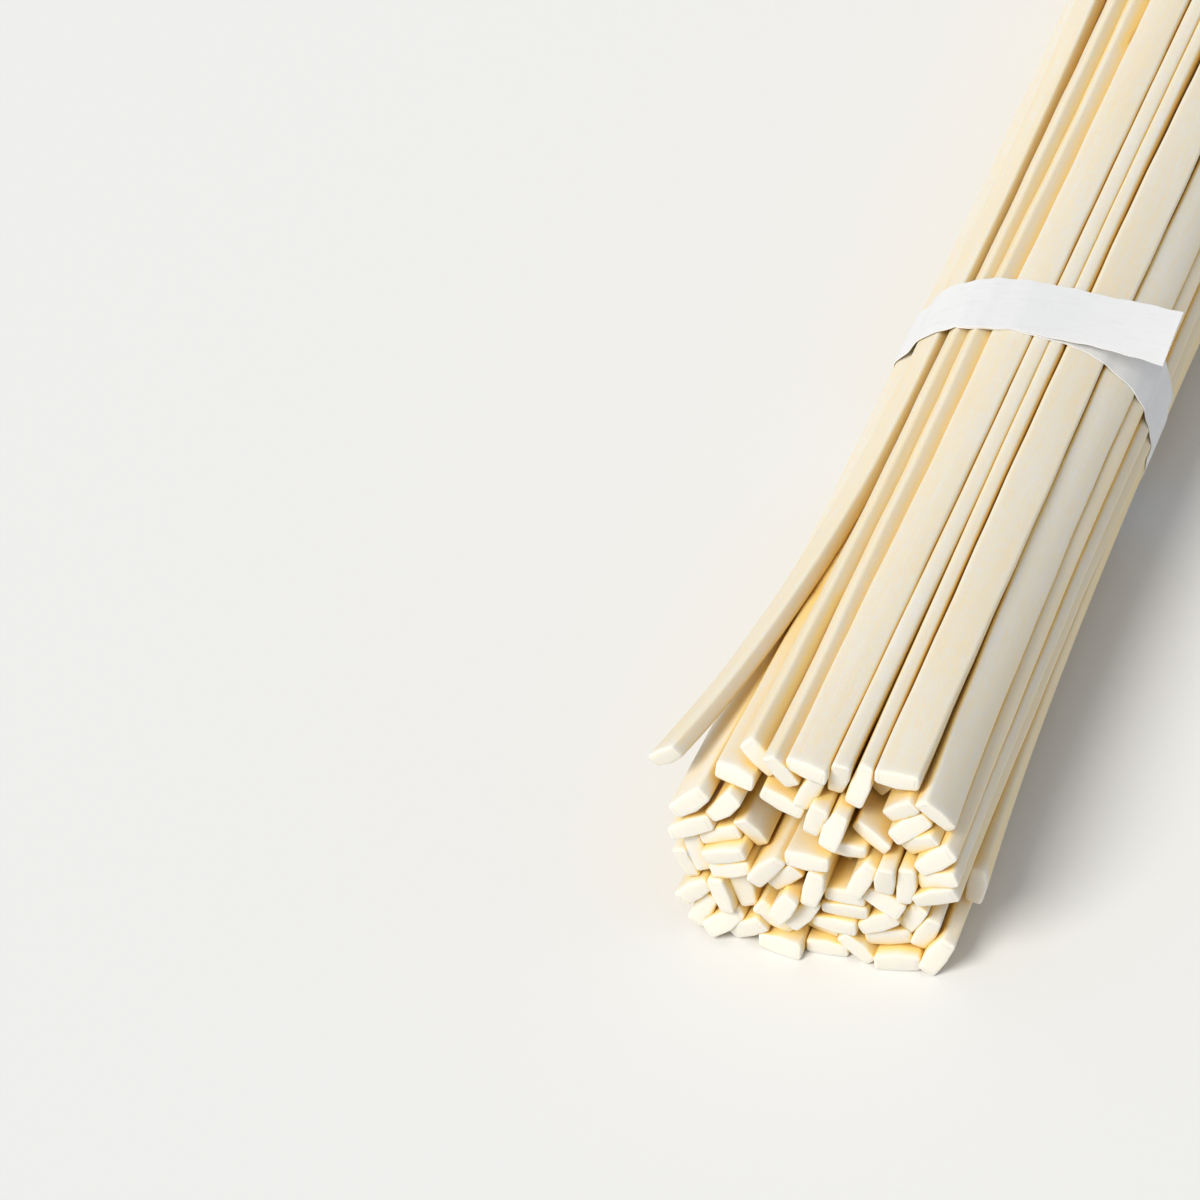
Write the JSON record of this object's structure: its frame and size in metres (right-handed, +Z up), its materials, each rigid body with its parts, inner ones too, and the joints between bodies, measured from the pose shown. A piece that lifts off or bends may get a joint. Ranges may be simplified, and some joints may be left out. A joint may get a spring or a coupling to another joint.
{
  "type": "bundle of dried udon noodles",
  "caption": "Straight dried flat wheat noodles gathered in a round bundle and held by a narrow white paper band with a lifted end.",
  "frame": {"origin": "on the table under the middle of the bundle's box", "axes": "+Y along the noodles, away from the end nearer the band; +Z up; +X to the side that the band's lifted end points to"},
  "size_m": [0.0336, 0.1952, 0.0244],
  "materials": {
    "noodles": "satin matte dried dough, cream, faintly floury",
    "paper": "thin matte white paper with faint fibres"
  },
  "bodies": {
    "root": {"noodles": "noodles", "band": "paper"}
  },
  "joints": []
}
